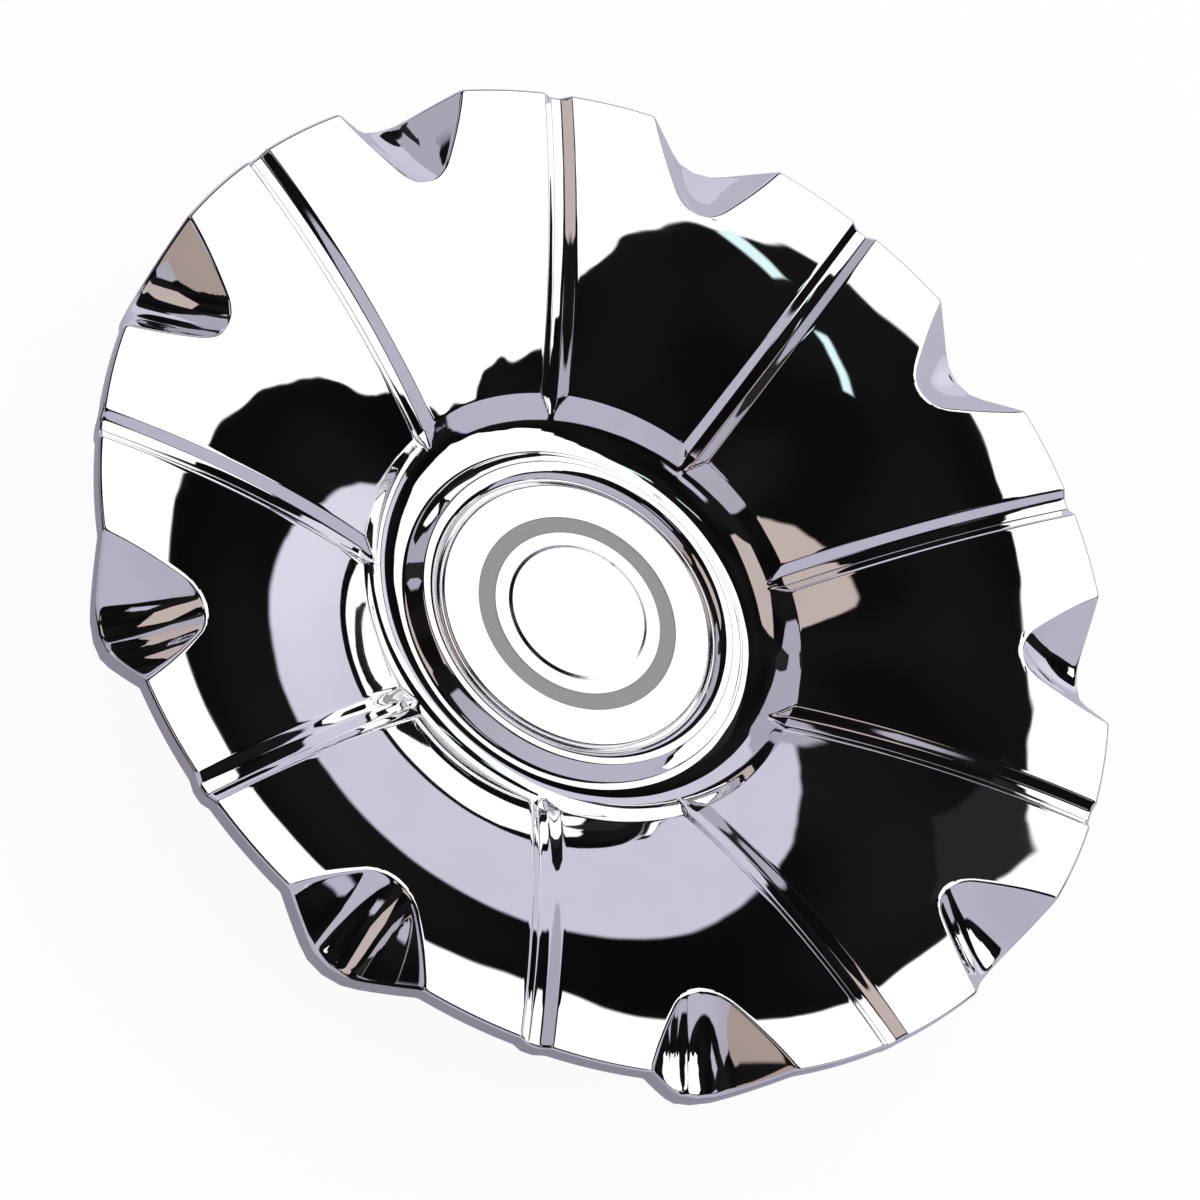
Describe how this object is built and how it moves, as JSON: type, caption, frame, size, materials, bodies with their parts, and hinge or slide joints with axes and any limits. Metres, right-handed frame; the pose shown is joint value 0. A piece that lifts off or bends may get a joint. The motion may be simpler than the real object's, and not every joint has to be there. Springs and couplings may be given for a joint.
{
  "type": "wheel center cap",
  "caption": "Round dished snap-in wheel center cap with radial grooves, scalloped rim flutes, a stepped hub with an emblem disc, and a snap collar on the back.",
  "frame": {"origin": "on the axis, at the ends of the snap legs", "axes": "+Z along the axis, out through the chrome face; a groove lies on +Y"},
  "size_m": [0.23, 0.23, 0.0569],
  "materials": {
    "chrome_plating": "bright chrome plating on moulded plastic",
    "emblem_metal": "satin silver disc with a grey painted ring",
    "spring_steel": "plain spring steel"
  },
  "bodies": {
    "root": {"cap_shell": "chrome_plating", "emblem_disc": "emblem_metal", "retaining_ring": "spring_steel"}
  },
  "joints": []
}
